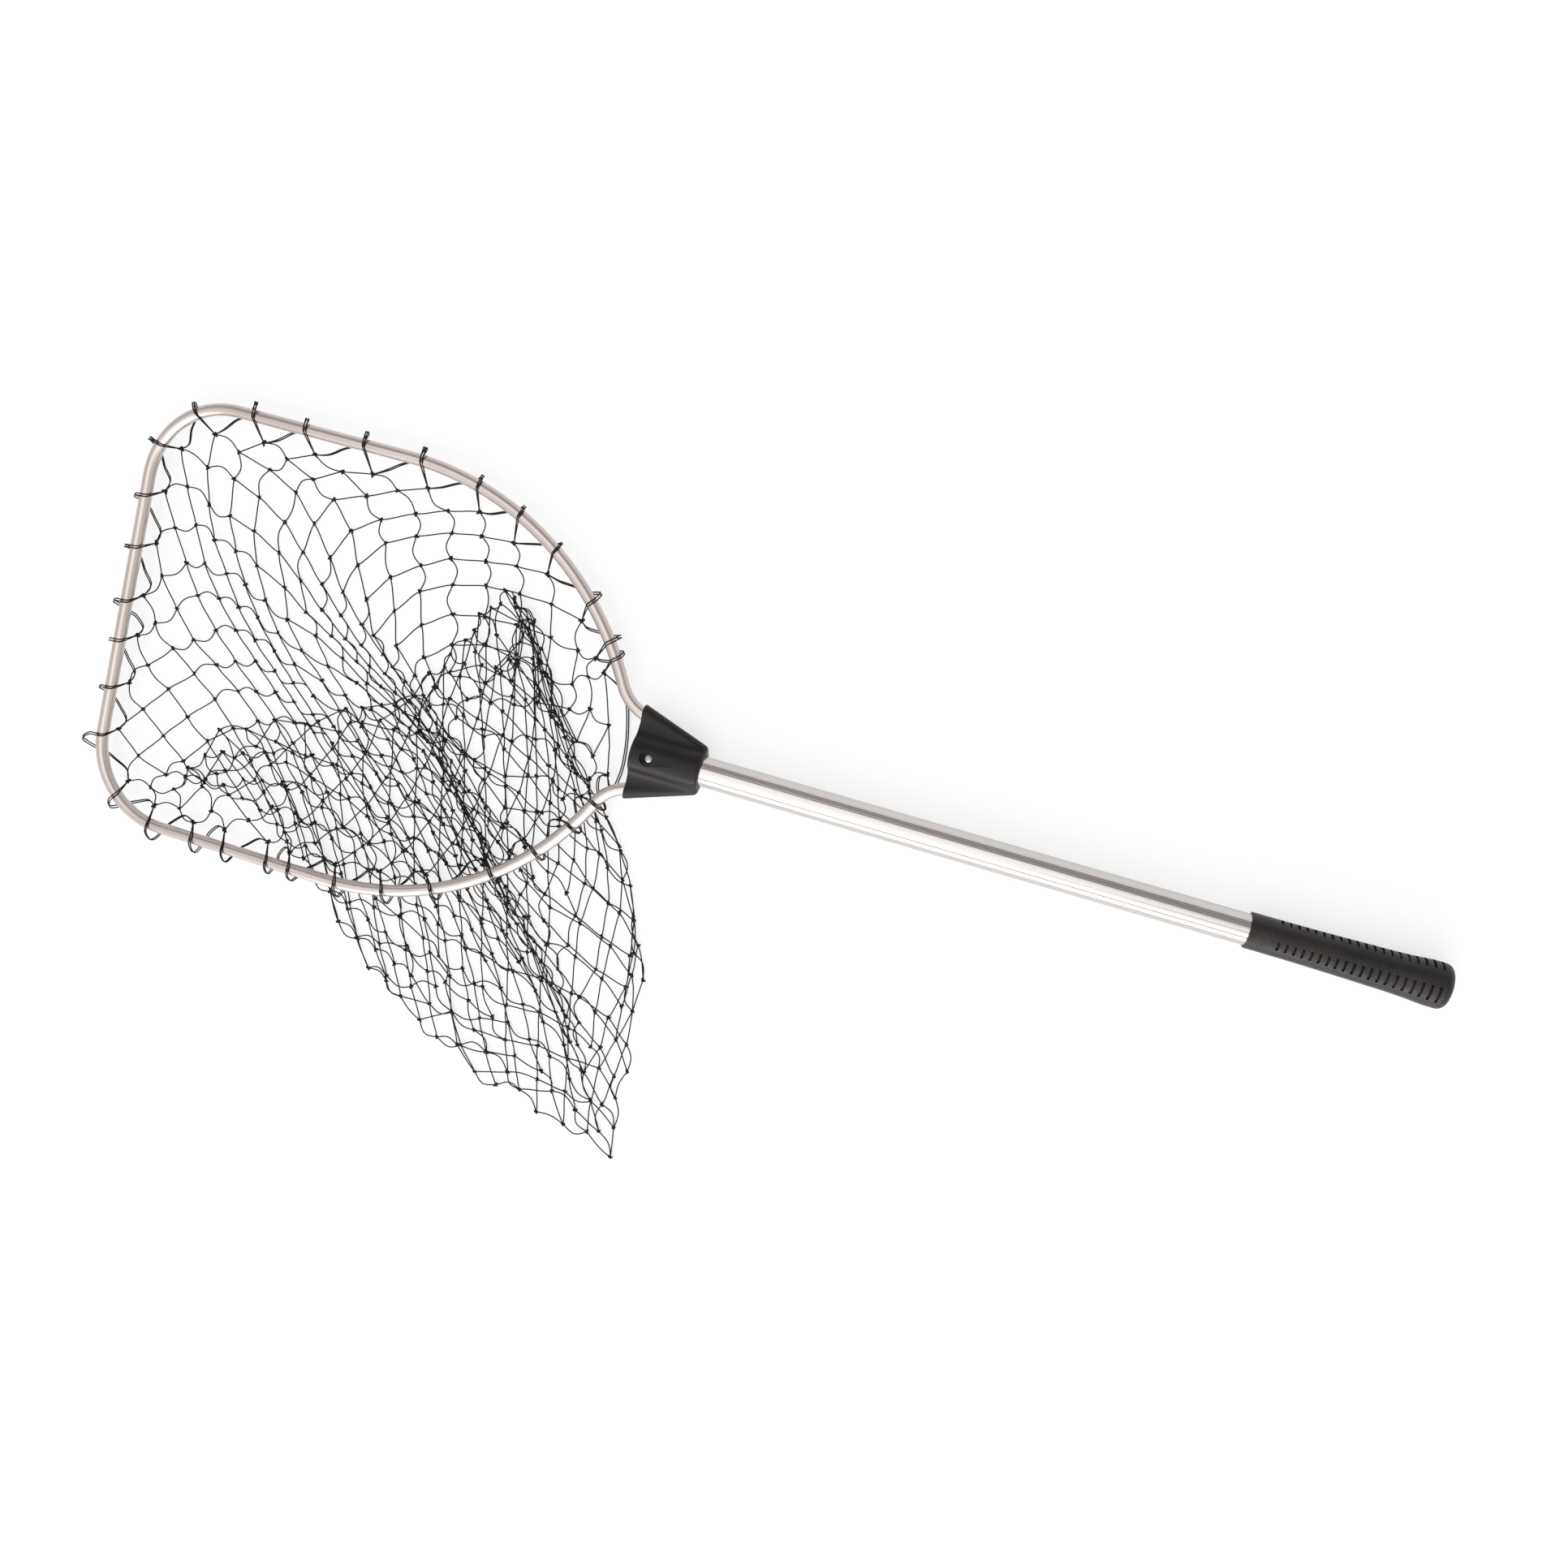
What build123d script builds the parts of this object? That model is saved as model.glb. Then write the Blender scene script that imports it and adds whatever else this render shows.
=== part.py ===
"""Landing net with a sliding handle, in millimetres.

It lies on the ground with its hoop and handle level and its bag laid out flat underneath.
+X runs along the handle from the hoop to the grip, and +Z is up. The row's origin is on the
ground, under the middle of the whole net. Sizes along the handle are measured from the lock
button, which is where the handle's own origin is: axis_point(0, 0, 0).
"""
import os
from math import asin, atan2, cos, degrees, radians, sin, sqrt

from build123d import *

# ---- Driving dimensions ----

# Hoop: one bent tube, straight at the far bar and along both sides
hoop_tube_d = 11.4
hoop_tube_wall = 1.2
hoop_reach = 543.0          # lock button to the far bar's centre line
hoop_half_width = 204.5     # to the side bars' centre lines
far_corner_r = 78.0
side_end_x = -290.0         # where the straight sides start to curve in
shoulder_r = 280.0
shoulder_turn = 62.0        # degrees
neck_r = 42.0
neck_turn = 45.0            # degrees, back towards the handle
socket_depth = 42.0         # length of tube inside each yoke socket

# Yoke: a moulded barrel around the handle with a socket lobe each side
yoke_front = -18.0          # face on the hoop side
yoke_back = 48.0            # rim on the handle side
barrel_r = 19.0
front_lobe_y = 37.0
front_lobe_r = 8.0
back_lobe_y = 15.5
back_lobe_r = 7.0
valley_r = 16.0             # hollow between the barrel and a lobe
yoke_front_round = 1.5
yoke_back_round = 3.0
bore_gap = 0.3              # all round the handle tube
socket_gap = 0.05
recess_r = 7.3              # thumb recess around the button
recess_tip_r = 1.6
recess_length = 22.0
recess_floor_z = 16.2       # above the handle's axis, at the button
recess_slope = 6.2          # degrees

# Handle tube with six groups of three fine grooves
handle_d = 28.0
handle_wall = 1.2
handle_front = -17.0
handle_back = 700.0
groove_groups = 6
groove_spacing = 9.5        # degrees between the grooves of a group
groove_r = 0.45

# Tube plugs
plug_flange = 1.0
plug_depth = 8.0
plug_gap = 0.05

# Grip: a moulded sleeve that flares to a closed, rounded butt
grip_front = 541.0
grip_end = 710.5
grip_front_r = 15.9
grip_butt_r = 19.8
butt_flat_r = 6.0
butt_round = 7.0
grip_seat_gap = 0.05
grip_wall_end = 8.2
slot_rows = 4
slot_count = 20
slot_pitch = 6.95
slot_first = 566.0          # first slot's distance from the button
slot_width = 2.2
slot_depth = 1.3
slot_arc_front = 28.0       # degrees of turn that a slot covers at the front
slot_arc_back = 45.0
slot_row_turn = -15.5       # degrees from straight up to the first row

# Lock button on its leaf spring
button_r = 4.7
button_hole_gap = 0.25
button_flange_r = 5.6
button_flange_h = 1.0
button_top_z = 17.4
button_dome_h = 2.2
button_seat_z = 10.2
button_seat_gap = 0.05
spring_width = 8.0
spring_t = 0.8
spring_seat = 6.0           # half the flat under the button
spring_bend_x = 30.0
spring_bend_z = -3.0
spring_bend_r = 2.5
spring_floor_z = -11.4      # lower leg's middle, on the tube's inner wall

# Screws that hold the hoop's ends in the sockets, from below
screw_along = 18.0          # from the socket's mouth, along the hoop tube
screw_r = 1.6
screw_head_r = 3.2
screw_head_h = 1.8
screw_seat_z = -7.0
screw_tip_z = -1.5
screw_gap = 0.05

# Bag, laid flat, and the twine loops that hang it on the hoop
bag_t = 3.0
bag_inset = 9.0             # bag's edge inside the hoop's centre line
lobe_tip = (49.0, -395.0)   # the bag's pointed bottom, pulled out past the hoop
bag_lobe = (
    (-60, -40), (-5, -96), (30, -142), (44, -205), (46, -285), lobe_tip,
    (-51, -365), (-144, -335), (-236, -275), (-295, -215), (-295, -150),
)
loop_count = 32
loop_end_gap = 12.0         # first and last loop to the yoke, along the tube
loop_t = 1.2
loop_width = 2.4            # two strands of twine side by side
loop_gap = 0.2
loop_drop_in = 12.0         # a loop's lower end, inward from the tube's centre line
loop_drop_z = 6.2           # the same, above the ground
loop_foot_r = 1.2

# ---- Derived places ----

hoop_tube_r = hoop_tube_d / 2
handle_r = handle_d / 2
loop_inner_r = hoop_tube_r + loop_gap
loop_outer_r = loop_inner_r + loop_t
axis_z = grip_butt_r
button_x = (hoop_reach + loop_outer_r - grip_end) / 2
axis_y = (-lobe_tip[1] - hoop_half_width - loop_outer_r) / 2


def axis_point(x, y, z):
    """A point given from the lock button: along the handle, sideways and up from its axis."""
    return (button_x + x, axis_y + y, axis_z + z)


def level_plane(z=0.0):
    """Level plane with its origin over the lock button's place on the handle's axis."""
    return Plane(origin=axis_point(0, 0, z))


def cross_plane(x):
    """Plane square to the handle; its local X is sideways and its local Y is up."""
    return Plane(origin=axis_point(x, 0, 0), x_dir=(0, 1, 0), z_dir=(1, 0, 0))


def side_plane(turn=0.0):
    """Plane through the handle's axis, turned about it; local X is along, local Y is out."""
    out = (0, sin(radians(turn)), cos(radians(turn)))
    return Plane(origin=axis_point(0, 0, 0), x_dir=(1, 0, 0), z_dir=(0, -out[2], out[1]))


handle_axis = Axis(axis_point(0, 0, 0), (1, 0, 0))


def hoop_side(side, inset=0.0):
    """Half of the hoop, from the far bar's middle to the shoulder's end; returns the shoulder."""
    bar_x = inset - hoop_reach
    rail_y = side * (hoop_half_width - inset)
    corner_r = far_corner_r - inset
    bar = Line((bar_x, 0), (bar_x, rail_y - side * corner_r))
    corner = JernArc(bar @ 1, bar % 1, corner_r, -90 * side)
    rail = Line(corner @ 1, (side_end_x, rail_y))
    return JernArc(rail @ 1, rail % 1, shoulder_r - inset, -shoulder_turn * side)


def hoop_neck(shoulder, side):
    """The neck after a shoulder, and the straight end in the yoke's socket; returns the end."""
    neck = JernArc(shoulder @ 1, shoulder % 1, neck_r, neck_turn * side)
    return Line(neck @ 1, neck @ 1 + (neck % 1) * socket_depth)


def yoke_section(x, inset):
    """Outline of the yoke across the handle at x: barrel, two lobes and the hollows between."""
    part_way = (x - yoke_front) / (yoke_back - yoke_front)
    lobe_y = front_lobe_y + (back_lobe_y - front_lobe_y) * part_way
    lobe = front_lobe_r + (back_lobe_r - front_lobe_r) * part_way - inset
    barrel = barrel_r - inset
    valley = valley_r + inset
    to_barrel = barrel + valley
    to_lobe = lobe + valley
    valley_y = (lobe_y ** 2 + to_barrel ** 2 - to_lobe ** 2) / (2 * lobe_y)
    valley_z = sqrt(to_barrel ** 2 - valley_y ** 2)
    on_barrel = (valley_y * barrel / to_barrel, valley_z * barrel / to_barrel)
    on_lobe = (lobe_y + (valley_y - lobe_y) * lobe / to_lobe, valley_z * lobe / to_lobe)
    half_way = (atan2(-valley_z, -valley_y) + atan2(-valley_z, lobe_y - valley_y)) / 2
    in_valley = (valley_y + valley * cos(half_way), valley_z + valley * sin(half_way))
    for up in (1, -1):
        ThreePointArc((-on_barrel[0], up * on_barrel[1]), (0, up * barrel),
                      (on_barrel[0], up * on_barrel[1]))
    for side in (1, -1):
        ThreePointArc((side * on_lobe[0], on_lobe[1]), (side * (lobe_y + lobe), 0),
                      (side * on_lobe[0], -on_lobe[1]))
        for up in (1, -1):
            ThreePointArc((side * on_barrel[0], up * on_barrel[1]),
                          (side * in_valley[0], up * in_valley[1]),
                          (side * on_lobe[0], up * on_lobe[1]))


os.makedirs("parts", exist_ok=True)

# ---- Hoop ----

with BuildLine(level_plane()) as hoop_line:
    socket_runs = [hoop_neck(hoop_side(side), side) for side in (1, -1)]

hoop_path = hoop_line.wire()
socket_plane = Plane(origin=hoop_path @ 0, z_dir=hoop_path % 0)
screw_spots = []
for run in socket_runs:
    spot = run @ (screw_along / socket_depth)
    screw_spots.append((spot.X - button_x, spot.Y - axis_y))

with BuildPart() as hoop_tube:
    with BuildSketch(socket_plane):
        Circle(hoop_tube_r)
        Circle(hoop_tube_r - hoop_tube_wall, mode=Mode.SUBTRACT)
    sweep(path=hoop_path)
    with BuildSketch(level_plane(-hoop_tube_d)):
        with Locations(*screw_spots):
            Circle(screw_r + screw_gap)
    extrude(amount=hoop_tube_d, mode=Mode.SUBTRACT)
hoop_tube.part.label = "hoop_tube"
export_step(hoop_tube.part, "parts/hoop_tube.step")

# ---- Yoke ----

with BuildPart() as socket_core:
    with BuildSketch(socket_plane):
        Circle(hoop_tube_r + socket_gap)
    sweep(path=hoop_path)

rim_steps = [
    (rim + turned_in * rim_r * (1 - sin(radians(turn))), rim_r * (1 - cos(radians(turn))))
    for rim, turned_in, rim_r, turns in ((yoke_front, 1, yoke_front_round, (90, 60, 30, 0)),
                                         (yoke_back, -1, yoke_back_round, (0, 30, 60, 90)))
    for turn in turns
]

with BuildPart() as yoke:
    for x, inset in rim_steps:
        with BuildSketch(cross_plane(x)):
            with BuildLine():
                yoke_section(x, inset)
            make_face()
    loft(ruled=True)
    with BuildSketch(cross_plane(yoke_front)):
        Circle(handle_r + bore_gap)
    extrude(amount=yoke_back - yoke_front, mode=Mode.SUBTRACT)
    add(socket_core.part, mode=Mode.SUBTRACT)
    with BuildSketch(level_plane(recess_floor_z).rotated((0, -recess_slope, 0))):
        with BuildLine():
            tip = (recess_length, 0)
            lean = degrees(asin((recess_r - recess_tip_r) / recess_length))
            round_end = CenterArc((0, 0), recess_r, 90 - lean, 180 + 2 * lean)
            tip_end = CenterArc(tip, recess_tip_r, lean - 90, 180 - 2 * lean)
            Line(round_end @ 0, tip_end @ 1)
            Line(round_end @ 1, tip_end @ 0)
        make_face()
    extrude(amount=barrel_r, mode=Mode.SUBTRACT)
    with BuildSketch(level_plane()):
        Circle(button_r + button_hole_gap)
    extrude(amount=barrel_r, mode=Mode.SUBTRACT)
    with BuildSketch(level_plane(-barrel_r)):
        with Locations(*screw_spots):
            Circle(screw_head_r + button_hole_gap)
    extrude(amount=barrel_r + screw_seat_z, mode=Mode.SUBTRACT)
    with BuildSketch(level_plane(-barrel_r)):
        with Locations(*screw_spots):
            Circle(screw_r + screw_gap)
    extrude(amount=barrel_r, mode=Mode.SUBTRACT)
yoke.part.label = "yoke"
export_step(yoke.part, "parts/yoke.step")

for side_name, spot in zip(("left", "right"), screw_spots):
    with BuildPart() as hoop_screw:
        with BuildSketch(level_plane(screw_seat_z)):
            with Locations(spot):
                Circle(screw_head_r)
        extrude(amount=-screw_head_h)
        fillet(hoop_screw.faces().sort_by(Axis.Z)[0].edges(), screw_head_h / 2)
        with BuildSketch(level_plane(screw_seat_z)):
            with Locations(spot):
                Circle(screw_r)
        extrude(amount=screw_tip_z - screw_seat_z)
        chamfer(hoop_screw.faces().sort_by(Axis.Z)[-1].edges(), screw_r / 2)
    hoop_screw.part.label = "hoop_screw_" + side_name
    export_step(hoop_screw.part, "parts/hoop_screw_" + side_name + ".step")

# ---- Handle ----

group_step = 360 / groove_groups
groove_turns = [
    90 + group_step / 2 + group_step * group + groove_spacing * place
    for group in range(groove_groups)
    for place in (-1, 0, 1)
]

with BuildPart() as handle_tube:
    with BuildSketch(cross_plane(handle_front)):
        Circle(handle_r)
        Circle(handle_r - handle_wall, mode=Mode.SUBTRACT)
        with Locations(*[(handle_r * cos(radians(turn)), handle_r * sin(radians(turn)))
                         for turn in groove_turns]):
            Circle(groove_r, mode=Mode.SUBTRACT)
    extrude(amount=handle_back - handle_front)
    with BuildSketch(level_plane()):
        Circle(button_r + button_hole_gap)
    extrude(amount=barrel_r, mode=Mode.SUBTRACT)
handle_tube.part.label = "handle_tube"
export_step(handle_tube.part, "parts/handle_tube.step")

for plug_name, face_x, inward in (("front_plug", handle_front, 1), ("rear_plug", handle_back, -1)):
    with BuildPart() as plug:
        with BuildSketch(cross_plane(face_x)):
            Circle(handle_r)
        extrude(amount=-inward * plug_flange)
        with BuildSketch(cross_plane(face_x)):
            Circle(handle_r - handle_wall - plug_gap)
        extrude(amount=inward * plug_depth)
    plug.part.label = plug_name
    export_step(plug.part, "parts/" + plug_name + ".step")

# ---- Grip ----

with BuildPart() as slot_cutter:
    for row in range(slot_rows):
        for slot in range(slot_count):
            part_way = slot / (slot_count - 1)
            slot_arc = slot_arc_front + (slot_arc_back - slot_arc_front) * part_way
            slot_x = slot_first + slot_pitch * slot
            surface_r = grip_front_r + (grip_butt_r - grip_front_r) * part_way ** 2
            start_turn = slot_row_turn + row * 360 / slot_rows + slot_arc / 2
            with BuildSketch(side_plane(start_turn)):
                with Locations((slot_x, surface_r)):
                    Rectangle(slot_width, 2 * slot_depth)
            revolve(axis=handle_axis, revolution_arc=slot_arc)

with BuildPart() as grip:
    with BuildSketch(side_plane()):
        with BuildLine():
            seat_r = handle_r + grip_seat_gap
            Polyline((grip_end - grip_wall_end, 0), (grip_end - grip_wall_end, seat_r),
                     (grip_front, seat_r), (grip_front, grip_front_r))
            flare = Spline((grip_front, grip_front_r), (600, 16.3), (648, 17.35), (680, 18.7),
                           (697, grip_butt_r), tangents=((1, 0), (1, 0)))
            FilletPolyline(flare @ 1, (708, grip_butt_r), (grip_end, butt_flat_r), radius=butt_round)
            Polyline((grip_end, butt_flat_r), (grip_end, 0), (grip_end - grip_wall_end, 0))
        make_face()
    revolve(axis=handle_axis)
    add(slot_cutter.part, mode=Mode.SUBTRACT)
grip.part.label = "grip"
export_step(grip.part, "parts/grip.step")

# ---- Lock button and its spring ----

dome_r = (button_r ** 2 + button_dome_h ** 2) / (2 * button_dome_h)
dome_edge_turn = degrees(asin(1 - button_dome_h / dome_r))

with BuildPart() as lock_button:
    with BuildSketch(side_plane()):
        with BuildLine():
            foot_z = button_seat_z + button_seat_gap
            flange_z = foot_z + button_flange_h
            Polyline((0, button_top_z), (0, foot_z), (button_flange_r, foot_z),
                     (button_flange_r, flange_z), (button_r, flange_z),
                     (button_r, button_top_z - button_dome_h))
            CenterArc((0, button_top_z - dome_r), dome_r, dome_edge_turn, 90 - dome_edge_turn)
        make_face()
    revolve(axis=Axis(axis_point(0, 0, 0), (0, 0, 1)))
lock_button.part.label = "lock_button"
export_step(lock_button.part, "parts/lock_button.step")

with BuildPart() as button_spring:
    with BuildSketch(side_plane()):
        with BuildLine():
            seat_line_z = button_seat_z - spring_t / 2
            FilletPolyline((-spring_seat, seat_line_z), (spring_seat, seat_line_z),
                           (spring_bend_x, spring_bend_z), (0, spring_floor_z),
                           (-spring_seat, spring_floor_z), radius=spring_bend_r)
        trace(line_width=spring_t)
    extrude(amount=spring_width / 2, both=True)
button_spring.part.label = "button_spring"
export_step(button_spring.part, "parts/button_spring.step")

# ---- Bag and its hanging loops ----

with BuildPart() as net_bag:
    with BuildSketch(level_plane(-axis_z)):
        with BuildLine():
            shoulders = [hoop_side(side, bag_inset) for side in (1, -1)]
            Line(shoulders[0] @ 1, shoulders[1] @ 1)
        make_face()
        with BuildLine():
            Polyline(*bag_lobe, close=True)
        make_face()
    extrude(amount=bag_t)
net_bag.part.label = "net_bag"
export_step(net_bag.part, "parts/net_bag.step")

first_loop = socket_depth + loop_end_gap
loop_pitch = (hoop_path.length - 2 * first_loop) / (loop_count - 1)
hoop_middle = Vector(*axis_point(-hoop_reach / 2, 0, 0))
loop_foot = (loop_drop_in, loop_drop_z - axis_z)

with BuildPart() as net_loops:
    for loop in range(loop_count):
        part_way = (first_loop + loop_pitch * loop) / hoop_path.length
        centre = hoop_path @ part_way
        along = hoop_path % part_way
        inward = along.cross(Vector(0, 0, 1))
        if inward.dot(hoop_middle - centre) < 0:
            inward = -inward
        loop_plane = Plane(origin=centre, x_dir=inward, z_dir=inward.cross(Vector(0, 0, 1)))
        for top_r, foot_r, mode in ((loop_outer_r, loop_foot_r + loop_t, Mode.ADD),
                                    (loop_inner_r, loop_foot_r, Mode.SUBTRACT)):
            with BuildSketch(loop_plane):
                Circle(top_r)
                with Locations(loop_foot):
                    Circle(foot_r)
                make_hull()
            extrude(amount=loop_width / 2, both=True, mode=mode)
net_loops.part.label = "net_loops"
export_step(net_loops.part, "parts/net_loops.step")
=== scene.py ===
"""Looks of the landing net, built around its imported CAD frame.

Blender works in metres in the row's frame. The netting and the camera are laid out in
millimetres from the lock button's place on the handle's axis: x along the handle towards the
grip, y across it, and z up. spot(x, y, z) turns such a point into the row's frame.
"""
import math

import bpy
import numpy as np
from mathutils import Matrix, Vector


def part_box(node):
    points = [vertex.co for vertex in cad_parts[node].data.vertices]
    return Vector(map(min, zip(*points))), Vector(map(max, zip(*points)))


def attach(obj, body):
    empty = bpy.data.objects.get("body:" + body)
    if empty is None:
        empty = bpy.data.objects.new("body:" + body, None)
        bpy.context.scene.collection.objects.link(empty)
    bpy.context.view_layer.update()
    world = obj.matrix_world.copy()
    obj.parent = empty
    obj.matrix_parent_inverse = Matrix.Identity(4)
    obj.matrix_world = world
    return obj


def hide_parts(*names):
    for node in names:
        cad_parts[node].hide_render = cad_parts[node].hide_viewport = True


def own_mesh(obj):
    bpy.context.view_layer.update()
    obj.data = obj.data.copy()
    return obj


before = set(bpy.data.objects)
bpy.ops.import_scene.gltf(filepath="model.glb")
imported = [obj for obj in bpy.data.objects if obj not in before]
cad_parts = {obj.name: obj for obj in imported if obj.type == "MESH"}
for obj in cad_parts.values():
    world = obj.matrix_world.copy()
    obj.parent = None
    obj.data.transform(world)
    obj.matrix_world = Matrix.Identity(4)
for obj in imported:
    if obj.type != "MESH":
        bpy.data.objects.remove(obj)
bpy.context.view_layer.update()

MM = 0.001

# ---- Places, from the frame ----

button_low, button_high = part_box("lock_button")
tube_low, tube_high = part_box("handle_tube")
hoop_low, hoop_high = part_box("hoop_tube")
origin = np.array([(button_low.x + button_high.x) / 2,
                   (tube_low.y + tube_high.y) / 2,
                   (tube_low.z + tube_high.z) / 2])

handle_tube_r = (tube_high.z - tube_low.z) / 2 / MM
hoop_tube_r = (hoop_high.z - hoop_low.z) / 2 / MM
hoop_reach = (origin[0] - hoop_low.x) / MM - hoop_tube_r
hoop_half_width = (hoop_high.y - hoop_low.y) / 2 / MM - hoop_tube_r
floor_z = -origin[2] / MM


def spot(x, y, z):
    """A point in millimetres from the lock button, as a point of the row's frame in metres."""
    return Vector(origin) + Vector((x, y, z)) * MM


# ---- Netting sizes, in millimetres ----

bar_length = 33.0           # one bar of a mesh, knot to knot
twine_r = 0.64
bar_spread = 0.035          # how much bars differ, as a part of their length
knot_r = 2.1                # of the wraps of twine that make a knot
knot_twine_r = 0.9          # the wraps lie double
mesh_count = 32             # meshes round the hoop
full_rows = 16              # rows before the bag narrows
taper = (30, 27, 24, 21, 18, 15, 12, 9, 6, 3, 1)   # knots in each narrowing row
rng = np.random.default_rng(11)

# How the knots are settled from where they are laid
laid_wobble = 2.2           # millimetres, at random
settle_steps = 260
bag_hold, fold_hold = 0.022, 0.3   # how firmly knots stay where they were laid
least_bar = 0.62            # shorter bars than this part of their twine push their knots apart
bar_turn = (0.04, 0.28)     # how far a knot turns its bars towards its own axis

# The handle tube slides over this stretch of the bag, which lies flatter there
tube_path_half = 22.0       # to each side of the handle's axis
tube_path_end = -512.0      # x of its far end
under_tube_height = 3.2     # of the highest knots there, over the ground
tube_room = handle_tube_r + 1.4   # radius round the handle's axis that twine stays out of

# Hoop centre line: radii and turns of one side, as the tube was bent
far_corner_r = 78.0
side_end_x = -290.0
shoulder_r, shoulder_turn = 280.0, 62.0
neck_r, neck_turn = 42.0, 45.0
neck_end_run = 8.0          # straight tube seen between a neck and the yoke

# Where each doubled loop goes over the hoop, as the distance along it from the yoke's +y side
loop_stations = (
    66, 82, 121, 178, 224, 271, 330, 388, 448, 501, 561,
    611, 663, 713, 766, 805, 852, 900,
    963, 1008, 1056, 1090, 1137, 1161, 1210, 1259, 1309, 1372, 1421, 1464, 1496, 1523,
)
knot_lag = 9.0              # first-row knots hang this far nearer to the yoke's +y side
hung_z = -7.0               # height of those knots, from the handle's axis
# At some columns of meshes: how far inside the tube's centre line the knots of the first row
# hang, and how far outside the tube their loops stand
hang_marks = (0, 4, 9, 12, 16, 17, 19, 20, 26, 31)
hang_reach = (17, 23, 22, 14, 12, 13, 14, 15, 15, 14)
loop_proud = (5, 5, 6, 9, 8, 15, 13, 10, 7, 4)

# Leaf spring: corners of its middle line, as (x, z)
spring_corners = ((-6, 9.8), (6, 9.8), (30, -3), (0, -11.4), (-6, -11.4))
spring_bend_r = 2.5
spring_width, spring_t = 8.0, 0.8

# How the bag lies: for every second column of meshes, the run of its thread of knots as
# (x, y, height over the ground). The first point is at laid_row, the last is the tip, and the
# knots past laid_row are evenly spaced between them. The first 9 columns hang from the +y side
# and the far bar and lie on the ground; the others hang from the -y side, go up to the crest
# where they turn over, and come back under the hoop to the lobe and its tip.
laid_row = 4
tip = (49, -393, 2)
lay = (
    ((-88, -2, 3), (-156, 100, 7), (-130, 40, 5), (-88, -15, 4),
     (-30, -74, 4), (22, -148, 4), (42, -226, 3), (43, -312, 2), tip),
    ((-150, 52, 2), (-205, 30, 2), (-178, -28, 2), (-122, -88, 2),
     (-62, -148, 2), (-8, -212, 2), (24, -282, 2), (38, -340, 2), tip),
    ((-232, 105, 2), (-262, 28, 2), (-225, -18, 2), (-172, -76, 2),
     (-116, -136, 2), (-60, -200, 2), (-8, -270, 2), (24, -335, 2), tip),
    ((-316, 118, 2), (-308, 32, 2), (-256, -4, 2), (-204, -50, 2),
     (-160, -118, 2), (-104, -180, 2), (-50, -236, 2), (2, -314, 2), tip),
    ((-388, 132, 2), (-352, 48, 2), (-292, -2, 2), (-222, -44, 2),
     (-154, -122, 2), (-96, -188, 2), (-44, -246, 2), (4, -322, 2), tip),
    ((-446, 112, 2), (-392, 42, 2), (-310, -12, 2), (-230, -62, 2),
     (-168, -128, 2), (-106, -194, 2), (-54, -246, 2), (0, -320, 2), tip),
    ((-468, 58, 2), (-408, 8, 2), (-330, -38, 2), (-248, -84, 2),
     (-180, -138, 2), (-116, -200, 2), (-62, -252, 2), (-6, -324, 2), tip),
    ((-468, 0, 2), (-402, -28, 2), (-330, -66, 2), (-260, -112, 2),
     (-196, -160, 2), (-134, -216, 2), (-78, -268, 2), (-16, -334, 2), tip),
    ((-447, -66, 2), (-385, -72, 2), (-325, -104, 2), (-265, -142, 2),
     (-205, -195, 2), (-150, -250, 2), (-88, -303, 2), (-22, -348, 2), tip),
    ((-440, -150, 3), (-378, -160, 3), (-318, -200, 3), (-268, -256, 2),
     (-210, -302, 2), (-150, -340, 2), (-82, -366, 2), (-14, -384, 2), tip),
    ((-440, -125, 5), (-425, -100, 6), (-350, -130, 5), (-285, -190, 4),
     (-222, -252, 4), (-155, -308, 4), (-92, -345, 3), (-25, -374, 3), tip),
    ((-372, -118, 6), (-388, -74, 7), (-330, -100, 5), (-268, -150, 4),
     (-205, -213, 4), (-148, -270, 4), (-88, -318, 3), (-20, -356, 3), tip),
    ((-292, -118, 6), (-302, -45, 7), (-250, -88, 5), (-200, -148, 4),
     (-148, -212, 4), (-96, -268, 4), (-45, -314, 3), (0, -350, 3), tip),
    ((-215, -95, 6), (-230, 15, 7), (-190, -35, 5), (-150, -98, 4),
     (-106, -160, 4), (-60, -220, 4), (-14, -280, 3), (18, -338, 3), tip),
    ((-130, -30, 5), (-207, 86, 7), (-170, 24, 5), (-126, -50, 4),
     (-78, -118, 4), (-30, -185, 4), (8, -252, 3), (30, -325, 3), tip),
    ((-102, 6, 4), (-185, 118, 7), (-138, 47, 5), (-88, -15, 4),
     (-36, -70, 4), (14, -142, 4), (38, -225, 3), (43, -312, 2), tip),
)

# The folded edge of the bag inside the hoop, as (x, y). Its twine bunches up there: knots closer
# to it than crest_reach are drawn in, by crest_pull of their distance and less further out.
crest = ((-302, -45), (-256, -18), (-225, 18), (-203, 57), (-193, 86), (-173, 105), (-152, 93))
crest_reach, crest_pull = 58.0, 0.95

# ---- Small tools ----

def unit(v):
    """Vectors scaled to length one, row by row."""
    return v / np.maximum(np.linalg.norm(v, axis=-1, keepdims=True), 1e-9)


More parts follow.
